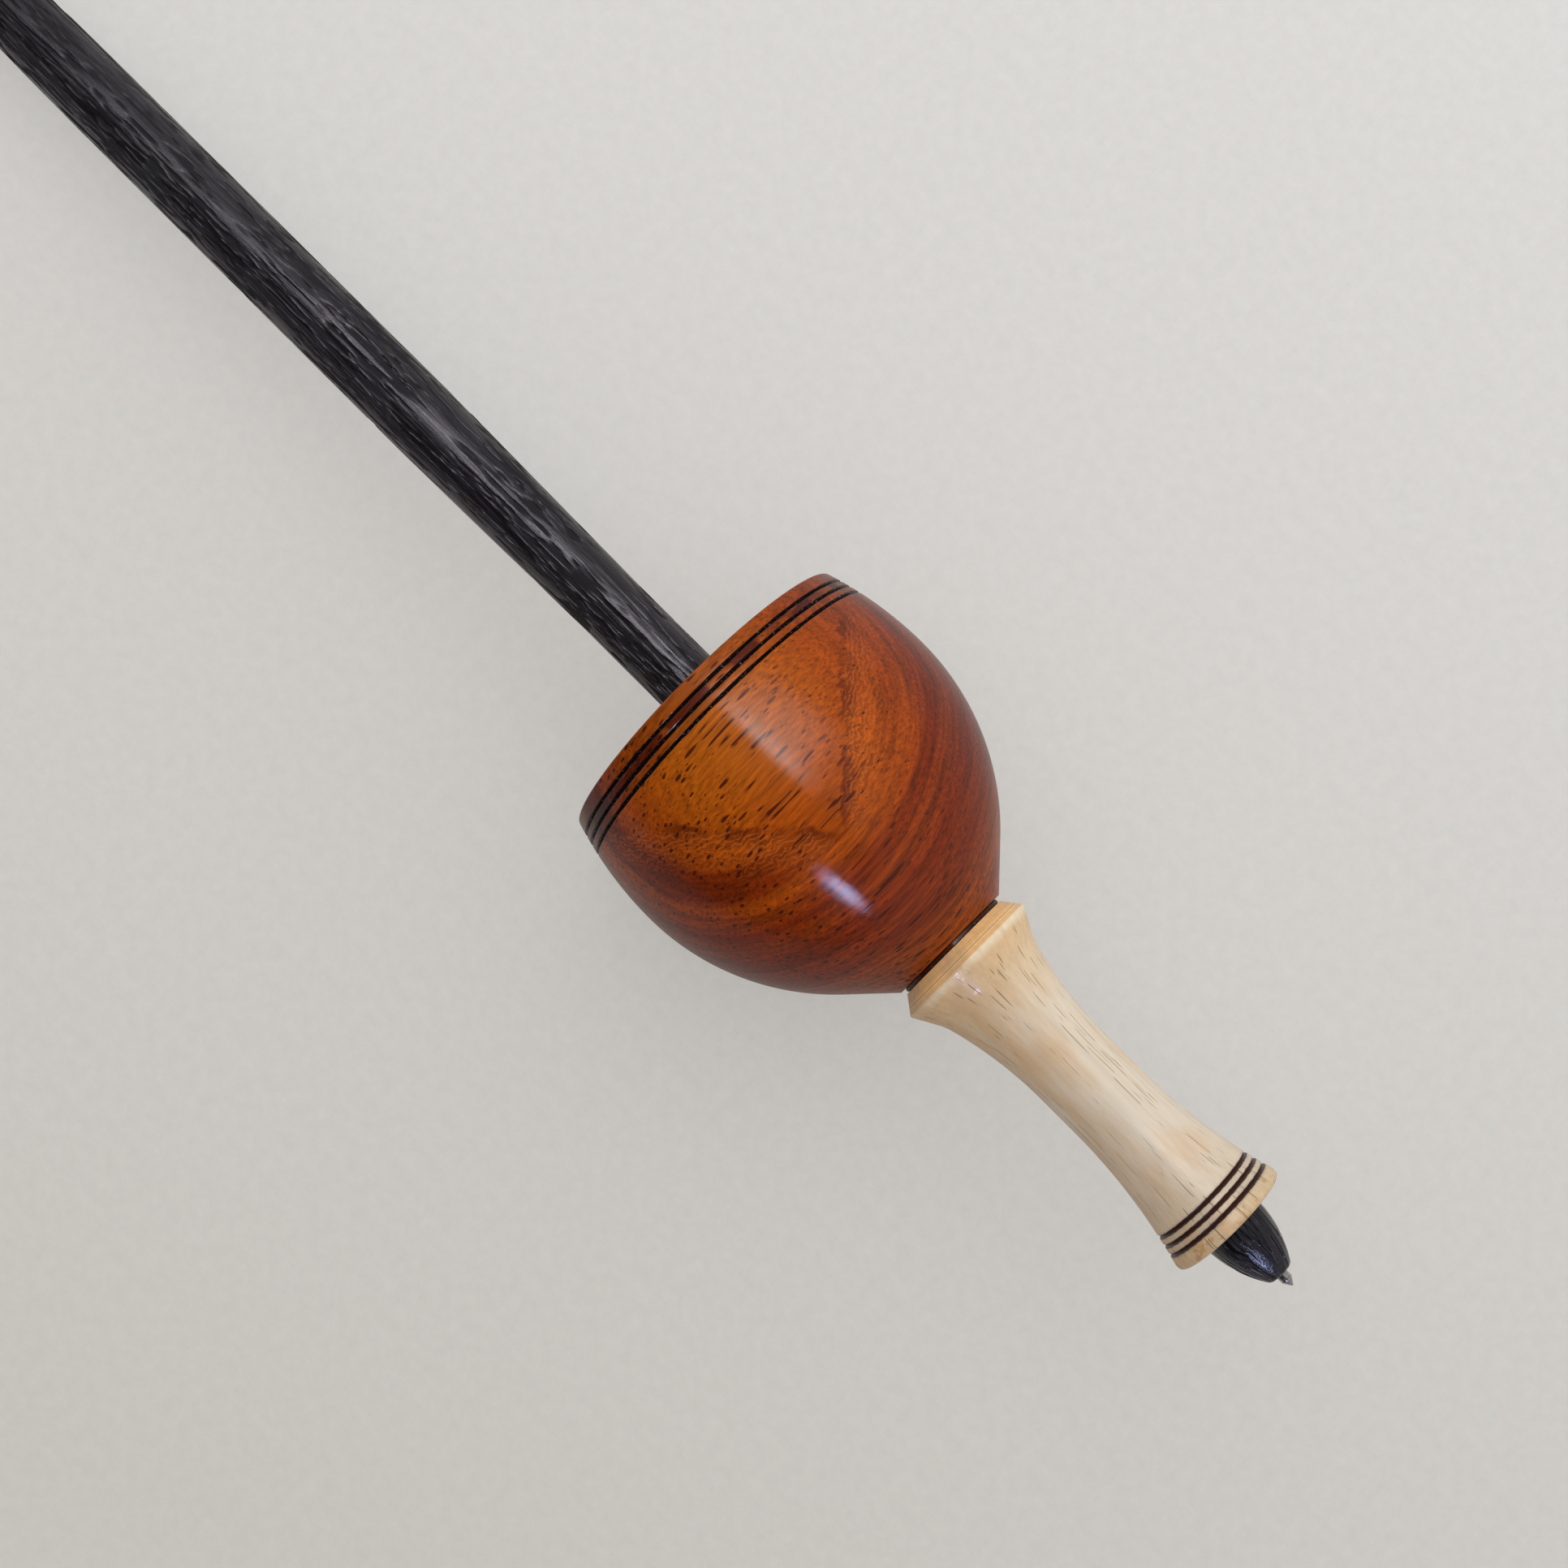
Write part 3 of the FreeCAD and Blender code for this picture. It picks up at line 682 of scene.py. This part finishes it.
def ground_steel():
    """Steel wire, ground to a cone and polished by use: bright, with faint rings round it from grinding,
    0.1 mm apart."""
    material, tree = empty_material("steel_ground_polished")
    place = in_wood(tree, TIP, AXIS, SIDE, UP)
    rings = grain(tree, place, (9.0, 0.4, 0.4), detail=3)
    tone = add(tree, "ValToRGB", {"Fac": rings}, stops=[(0.3, linear("8C8A88")), (0.7, linear("C4C2BE"))])
    bump = add(tree, "Bump", {"Height": rings, "Strength": 0.3, "Distance": 0.02 * MM})
    shader = add(tree, "BsdfPrincipled", {
        "Base Color": tone, "Metallic": 1.0, "Roughness": 0.22, "Normal": bump})
    add(tree, "OutputMaterial", {"Surface": shader})
    return material


# ------------------------------------------------------------------ pieces

class SPINDLE_OT_steel_point(bpy.types.Operator):
    """Make the ground steel point"""
    bl_idname = "spindle.steel_point"
    bl_label = "Steel point"

    def execute(self, context):
        mm = in_millimetres(context.scene.spindle_point)
        tip, last, _ = reach_of("steel_point")
        path = np.vstack((
            straight((tip, 0), (tip, mm.tip_flat), 3),
            straight((tip, mm.tip_flat), (mm.cone, mm.radius), 12),
            straight((mm.cone, mm.radius), (last, mm.radius), 20),
            straight((last, mm.radius), (last, 0), 2),
            [(last, 0)],
        ))
        piece = turned("point_ground", path, 96)
        put_in_place(piece, "steel_point", ground_steel())
        return {"FINISHED"}


class SPINDLE_OT_shaft(bpy.types.Operator):
    """Make the black shaft with its nose"""
    bl_idname = "spindle.shaft"
    bl_label = "Shaft"

    def execute(self, context):
        mm = in_millimetres(context.scene.spindle_shaft)
        point = in_millimetres(context.scene.spindle_point)
        first, last, _ = reach_of("shaft")
        neck_end = reach_of("neck")[0]
        rim = reach_of("whorl")[1]
        hole, hole_end = point.radius + point.gap, reach_of("steel_point")[1] + point.spare
        nose, core, root, thick = mm.nose_end_radius, mm.core_radius, mm.root_radius, mm.thick_radius
        floor = rim - in_millimetres(context.scene.spindle_whorl).dish_depth
        root_end = rim + mm.root_length
        thick_from = rim + mm.thick_start
        thick_to = thick_from + mm.thick_length
        round_from = last - mm.end_radius
        turn = np.linspace(0, math.pi / 2, 12)[1:]
        path = np.vstack((
            straight((hole_end, 0), (hole_end, hole), 2),
            straight((hole_end, hole), (first, hole), 6),
            straight((first, hole), (first, nose), 6),
            bow(first, nose, neck_end, core, "finish", stations(first, neck_end, 0.2)),
            straight((neck_end + 0.5, core), (floor, core), 12),
            straight((floor, core), (floor, root), 2),
            straight((floor, root), (root_end, root), 30),
            straight((root_end, root), (thick_from, thick), 55),
            straight((thick_from, thick), (thick_to, thick), 90),
            bow(thick_to, thick, round_from, mm.end_radius, "start", stations(thick_to, round_from, 0.9)),
            np.column_stack((round_from + mm.end_radius * np.sin(turn), mm.end_radius * np.cos(turn))),
        ))
        path[-1, 1] = 0

        def cracks(x, r, a):
            """Cracks of the open grain, 1 at their deepest.

            Long lines lie where stretched noise passes its middle value, and short pits above the
            whorl where finer noise peaks. Each kind comes and goes in patches of slow noise.
            """
            wide = ripple(x, a, 13.0, 34, 4)
            thin = ripple(x, a, 4.5, 80, 9)
            line = 1 - np.abs(0.7 * wide + 0.3 * thin - 0.5) / 0.07
            line = np.clip(1.6 * line, 0, 1) * np.clip(6 * ripple(x, a, 12.0, 9, 2) - 1.5, 0, 1)
            pits = np.clip((ripple(x, a, 3.0, 72, 15) - 0.62) / 0.12, 0, 1)
            patches = np.clip(6 * ripple(x, a, 14.0, 7, 16) - 2.2, 0, 1)
            return np.maximum(line, pits * patches * (x > rim))

        def sink(x, r, a):
            """The cracks, a slow waviness of 0.1 mm above the whorl and a fine one of 0.015 mm, on the
            skin only: not in the hole or inside the neck and the whorl."""
            skin = (r > hole + 0.3) & ((x < neck_end + 0.2) | (x > floor + 0.4))
            slow = 0.10 * ripple(x, a, 30.0, 3, 1) * (x > rim)
            fine = 0.015 * ripple(x, a, 4.0, 90, 6)
            return skin * (mm.crack_depth * cracks(x, r, a) + slow + fine)

        piece = turned("shaft_turned", path, 256, sink=sink, marks={"crack": cracks})
        put_in_place(piece, "shaft", ebonised_oak())
        return {"FINISHED"}


class SPINDLE_OT_neck(bpy.types.Operator):
    """Make the pale turned neck"""
    bl_idname = "spindle.neck"
    bl_label = "Neck"

    def execute(self, context):
        mm = in_millimetres(context.scene.spindle_neck)
        end, seat, _ = reach_of("neck")
        bore, top, lip, hollow, waist = (
            mm.bore_radius, mm.top_radius, mm.lip_radius, mm.hollow_top_radius, mm.waist_radius)
        lines = [end + mm.line_first + mm.line_pitch * number for number in range(3)]
        band_end = end + mm.end_band
        waist_top = seat - mm.waist_start
        waist_end = waist_top - mm.waist_length
        lip_at = seat - mm.bevel
        hollow_top = lip_at - mm.flare
        path = np.vstack((
            straight((end, bore), (end, mm.end_radius), 16),
            straight((end, mm.end_radius), (band_end, mm.end_radius), 16),
            bow(band_end, mm.end_radius, waist_end, waist, "finish",
                stations(band_end, waist_end, 0.35, lines, mm.line_width * 0.6))[:-1],
            straight((waist_end, waist), (waist_top, waist), 14),
            bow(waist_top, waist, hollow_top, hollow, "start",
                stations(waist_top, hollow_top, 0.35))[:-1],
            straight((hollow_top, hollow), (lip_at, lip), 24),
            straight((lip_at, lip), (seat, top), 24),
            straight((seat, top), (seat, bore), 8),
            straight((seat, bore), (end, bore), 8),
        ))
        path = eased(path, (end, mm.end_radius), mm.end_round)
        path = eased(path, (hollow_top, hollow), mm.flare_round)
        path = eased(path, (lip_at, lip), mm.lip_round)

        def burn(x, r, a):
            """The burned lines, ragged by a fifth of their width, on the outside only."""
            ragged = mm.line_width * (0.88 + 0.2 * ripple(0 * x, a, 1.0, 140, 21))
            return v_cut(x, lines, ragged) * (r > bore + 0.2)

        def char(x, r, a):
            """Char in the lines, and half as much beside them over 1.9 times their width."""
            return np.clip(5 * burn(x, r, a) + 0.5 * v_cut(x, lines, 1.9 * mm.line_width + 0 * a), 0, 1)

        piece = turned("neck_turned", path, 300, ring=True,
                       sink=lambda x, r, a: mm.line_depth * burn(x, r, a), marks={"burn": char})
        put_in_place(piece, "neck", birch())
        return {"FINISHED"}


class SPINDLE_OT_whorl(bpy.types.Operator):
    """Make the bowl-shaped whorl"""
    bl_idname = "spindle.whorl"
    bl_label = "Whorl"

    def execute(self, context):
        mm = in_millimetres(context.scene.spindle_whorl)
        seat, rim, belly = reach_of("whorl")
        foot = seat + mm.land
        widest = foot + mm.foot_depth
        angle = 2 * math.atan((belly - mm.foot_radius) / (mm.foot_depth + mm.foot_slope))
        slope_end = (foot + mm.foot_slope * math.cos(angle),
                     mm.foot_radius + mm.foot_slope * math.sin(angle))
        lines = [rim - mm.line_first - mm.line_pitch * number for number in range(3)]
        dish = mm.rim_radius - mm.dish_border
        floor = rim - mm.dish_depth
        land = stations(seat, foot, 0.1, [seat, foot], mm.joint_width, 0.03)
        hollow = bow(mm.dish_floor, floor, dish, rim, "start", stations(mm.dish_floor, dish, 0.6))
        path = np.vstack((
            straight((seat, mm.bore_radius), (seat, mm.land_radius), 8),
            np.column_stack((land, np.full(len(land), mm.land_radius))),
            straight((foot, mm.land_radius), (foot, mm.foot_radius), 6)[1:],
            straight((foot, mm.foot_radius), slope_end, 24),
            bow(*slope_end, widest, belly, "finish", stations(slope_end[0], widest, 0.4))[:-1],
            bow(widest, belly, rim, mm.rim_radius, "start",
                stations(widest, rim, 0.3, lines, mm.line_width * 0.65)),
            straight((rim, mm.rim_radius), (rim, dish), 12)[1:],
            hollow[::-1, ::-1][:-1],
            straight((floor, mm.dish_floor), (floor, mm.bore_radius), 10),
            straight((floor, mm.bore_radius), (seat, mm.bore_radius), 20),
        ))
        path = eased(path, (rim, mm.rim_radius), mm.rim_round)

        def rim_burn(x, r, a):
            """The burned lines near the rim, ragged by coarse noise and a little fine noise."""
            coarse, fine = ripple(0 * x, a, 1.0, 70, 32), ripple(0 * x, a, 1.0, 260, 31)
            ragged = mm.line_width * (0.88 + 0.12 * fine + 0.3 * coarse)
            return v_cut(x, lines, ragged) * (r > dish + mm.dish_border / 2)

        def on_land(r):
            """1 on the narrow land, which is the only place of its radius."""
            return np.abs(r - mm.land_radius) < 0.01

        def joint_burn(x, r, a):
            """The two even burned lines at the sides of the land."""
            return v_cut(x, [seat, foot], mm.joint_width + 0 * a) * on_land(r)

        def sink(x, r, a):
            """All the burned lines, sunk to their depths."""
            return mm.line_depth * rim_burn(x, r, a) + mm.joint_depth * joint_burn(x, r, a)

        def char(x, r, a):
            """Char in all the burned lines and on the land between the two at the joint."""
            return np.clip(5 * (rim_burn(x, r, a) + joint_burn(x, r, a)) + 0.8 * on_land(r), 0, 1)

        def scorch(x, r, a):
            """Brown on the band above the last line, more to one side, and in smudges between the
            first two."""
            cloud = ripple(x, a, 1.2, 70, 12)
            band = np.clip((x - lines[2]) / 0.3, 0, 1) * (0.22 + 0.25 * cloud) * (1 + 0.8 * np.sin(a))
            smudge = np.clip(1.4 - np.abs(x - lines[0] + mm.line_pitch / 2) / (mm.line_pitch / 2), 0, 1)
            return (band + smudge * np.clip(cloud * 3 - 0.9, 0, 0.9)) * (r > dish)

        piece = turned("whorl_turned", path, 360, ring=True, sink=sink,
                       marks={"scorch": scorch, "burn": char})
        put_in_place(piece, "whorl", padauk(TIP + AXIS * widest * MM))
        return {"FINISHED"}


# ------------------------------------------------------------------ stage

# Lamps: name, place from the whorl's widest place in metres, its width and height in metres, watts and
# colour. The small window lamp makes the glints and the soft box the broad sheen, and neither lights
# matt surfaces. The ceiling light does only that.
LAMPS = (
    ("window_lamp", (-0.740, 0.343, 0.578), (0.12, 0.05), 4.1, "BCD0FF"),
    ("soft_box", (0.28, -0.36, 0.80), (0.58, 0.72), 4.8, "FFFFFF"),
    ("ceiling_light", (0.35, -0.35, 0.90), (1.20, 1.20), 3.2, "FFFFFF"))
TABLE_HALF = 12.0                               # metres, so that its edge is far off in a low view
CAMERA_ASIDE = (-0.21 * MM, 0.50 * MM)          # from straight above the whorl's widest place
CAMERA_TURN = math.radians(224.88)


def lay_table(scene, colour):
    """A matt sheet under the spindle, mottled by 2 mm, which glows a little where the camera sees it."""
    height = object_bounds()[0][2]
    corners = [(TABLE_HALF * x, TABLE_HALF * y, height) for x, y in ((-1, -1), (1, -1), (1, 1), (-1, 1))]
    mesh = bpy.data.meshes.new("table_paper")
    mesh.from_pydata(corners, [], [(0, 1, 2, 3)])
    table = bpy.data.objects.new("table_paper", mesh)
    material, tree = empty_material("paper_matt")
    place = add(tree, "TexCoord", output="Object")
    mottle = add(tree, "TexNoise", {"Vector": place, "Scale": 500.0, "Detail": 6.0, "Roughness": 0.7})
    mottle = add(tree, "MapRange", (mottle, 0.3, 0.7, 0.965, 1.035))
    # The paper is a little greyer away from the window, which lights it from one side.
    away = add(tree, "VectorMath", (place, (0.35, -0.94, 0.0)), output=1, operation="DOT_PRODUCT")
    away = add(tree, "MapRange", (away, -0.15, 0.15))
    tint = add(tree, "Mix", {0: away, 6: (0.90, 0.89, 0.86, 1), 7: (1.17, 1.17, 1.19, 1)}, **MIXED)
    paper = (*colour, 1)
    for shade in (mottle, tint):
        paper = add(tree, "Mix", {0: 1.0, 6: paper, 7: shade}, **TINTED)
    shader = add(tree, "BsdfPrincipled", {"Base Color": paper, "Roughness": 0.9})
    glow = add(tree, "Emission", {"Color": paper, "Strength": 0.93})
    seen = add(tree, "LightPath", output="Is Camera Ray")
    seen = add(tree, "Math", (seen, 0.55), operation="MULTIPLY")
    add(tree, "OutputMaterial", {"Surface": add(tree, "MixShader", (seen, shader, glow))})
    mesh.materials.append(material)
    scene.collection.objects.link(table)
    table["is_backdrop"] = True


def fill_with_light(scene):
    """The air of the room: matt surfaces get more light from one side than from the other, shiny ones
    mirror a pale room with one dark, warmer side, and the camera sees plain grey."""
    world = bpy.data.worlds.new("studio_air")
    scene.world = world
    world.use_nodes = True
    tree = world.node_tree
    tree.nodes.clear()
    way = add(tree, "TexCoord", output="Generated")
    dark = add(tree, "VectorMath", (way, (-0.12, 0.80, 0.58)), output=1, operation="DOT_PRODUCT")
    dark = add(tree, "MapRange", (dark, 0.30, 0.62), **SMOOTH)
    across = add(tree, "SeparateXYZ", (way,), output=1)
    fill = add(tree, "MapRange", (across, -1.0, 1.0, 1.24, 0.16))
    mirrored = add(tree, "MapRange", (dark, 0, 1, 0.52, 0.06))
    light = add(tree, "Mix", {0: add(tree, "LightPath", output="Is Glossy Ray"), 2: fill, 3: mirrored})
    light = add(tree, "Mix", {0: add(tree, "LightPath", output="Is Camera Ray"), 2: light, 3: 0.62})
    tone = add(tree, "Mix", {0: dark, 6: (1.0, 1.0, 1.0, 1), 7: linear("FFF3EA")}, **MIXED)
    add(tree, "OutputWorld", {"Surface": add(tree, "Background", {"Strength": light, "Color": tone})})


def shade_soft_box(data):
    """The soft box's glow is strongest near the edge overhead, weaker away from it, and fades out
    towards every edge but the far one."""
    data.use_nodes = True
    tree = data.node_tree
    tree.nodes.clear()
    spot = add(tree, "NewGeometry", output="Parametric")
    across, away, _ = add(tree, "SeparateXYZ", (spot,), output=None)
    fade = add(tree, "MapRange", (away, 0, 1, 1.8, 0.3))
    strip = add(tree, "MapRange", (away, 0.32, 0.12, 0, 1.7))
    border = add(tree, "MapRange", (away, 0, 0.18), **SMOOTH)
    fade = add(tree, "Math", (fade, strip), operation="ADD")
    fade = add(tree, "Math", (fade, border), operation="MULTIPLY")
    middle = add(tree, "Math", (across, 0.5), operation="SUBTRACT")
    middle = add(tree, "Math", (middle,), operation="ABSOLUTE")
    sides = add(tree, "MapRange", (middle, 0.5, 0.40), **SMOOTH)
    glow = add(tree, "Math", (fade, sides), operation="MULTIPLY")
    add(tree, "OutputLight", {"Surface": add(tree, "Emission", {"Strength": glow})})


def hang_lamps(scene, centre):
    """The lamps round centre. The window lamp faces it, and the others hang level."""
    for name, offset, panel, watts, tint in LAMPS:
        data = bpy.data.lights.new(name, "AREA")
        data.shape, (data.size, data.size_y) = "RECTANGLE", panel
        data.energy, data.color = watts, linear(tint)[:3]
        lamp = bpy.data.objects.new(name, data)
        lamp.location = centre + Vector(offset)
        aim = Vector(offset) if name == "window_lamp" else Vector((0, 0, 1))
        lamp.rotation_euler = aim.to_track_quat("Z", "Y").to_euler()
        lamp.visible_diffuse = name == "ceiling_light"
        lamp.visible_glossy = name != "ceiling_light"
        scene.collection.objects.link(lamp)
        if name == "soft_box":
            shade_soft_box(data)


def stand_camera(scene, centre, sizes):
    """The camera above centre, looking straight down."""
    data = bpy.data.cameras.new("camera")
    data.sensor_width, data.lens = 36.0, sizes.lens
    camera = bpy.data.objects.new("camera", data)
    camera.location = centre + Vector((*CAMERA_ASIDE, sizes.camera_height))
    camera.rotation_euler = (0, 0, CAMERA_TURN)
    scene.collection.objects.link(camera)
    scene.camera = camera


class SPINDLE_OT_stage(bpy.types.Operator):
    """Set the table, the lamps and the camera"""
    bl_idname = "spindle.stage"
    bl_label = "Stage"

    def execute(self, context):
        scene = context.scene
        sizes, whorl = scene.spindle_stage, scene.spindle_whorl
        seat = reach_of("whorl")[0]
        centre = Vector(TIP + AXIS * (seat * MM + whorl.land + whorl.foot_depth))
        lay_table(scene, sizes.paper)
        fill_with_light(scene)
        hang_lamps(scene, centre)
        stand_camera(scene, centre, sizes)
        scene.view_settings.view_transform = "Standard"
        return {"FINISHED"}


class SPINDLE_PT_panel(bpy.types.Panel):
    """List the pieces and the stage in the sidebar"""
    bl_idname = "SPINDLE_PT_panel"
    bl_label = "Hand spindle"
    bl_space_type = "VIEW_3D"
    bl_region_type = "UI"
    bl_category = "Spindle"

    def draw(self, context):
        for operator in OPERATORS:
            self.layout.operator(operator.bl_idname)


GROUPS = {
    "spindle_point": PointSizes,
    "spindle_shaft": ShaftSizes,
    "spindle_neck": NeckSizes,
    "spindle_whorl": WhorlSizes,
    "spindle_stage": StageSizes,
}
OPERATORS = (SPINDLE_OT_steel_point, SPINDLE_OT_shaft, SPINDLE_OT_neck, SPINDLE_OT_whorl,
             SPINDLE_OT_stage)


def register():
    for name, group in GROUPS.items():
        bpy.utils.register_class(group)
        setattr(bpy.types.Scene, name, PointerProperty(type=group))
    for operator in OPERATORS:
        bpy.utils.register_class(operator)
    bpy.utils.register_class(SPINDLE_PT_panel)


def unregister():
    bpy.utils.unregister_class(SPINDLE_PT_panel)
    for operator in reversed(OPERATORS):
        bpy.utils.unregister_class(operator)
    for name, group in GROUPS.items():
        delattr(bpy.types.Scene, name)
        bpy.utils.unregister_class(group)


def main():
    register()
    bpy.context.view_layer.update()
    for operator in OPERATORS:
        group, name = operator.bl_idname.split(".")
        getattr(getattr(bpy.ops, group), name)()


if __name__ == "__main__":
    main()
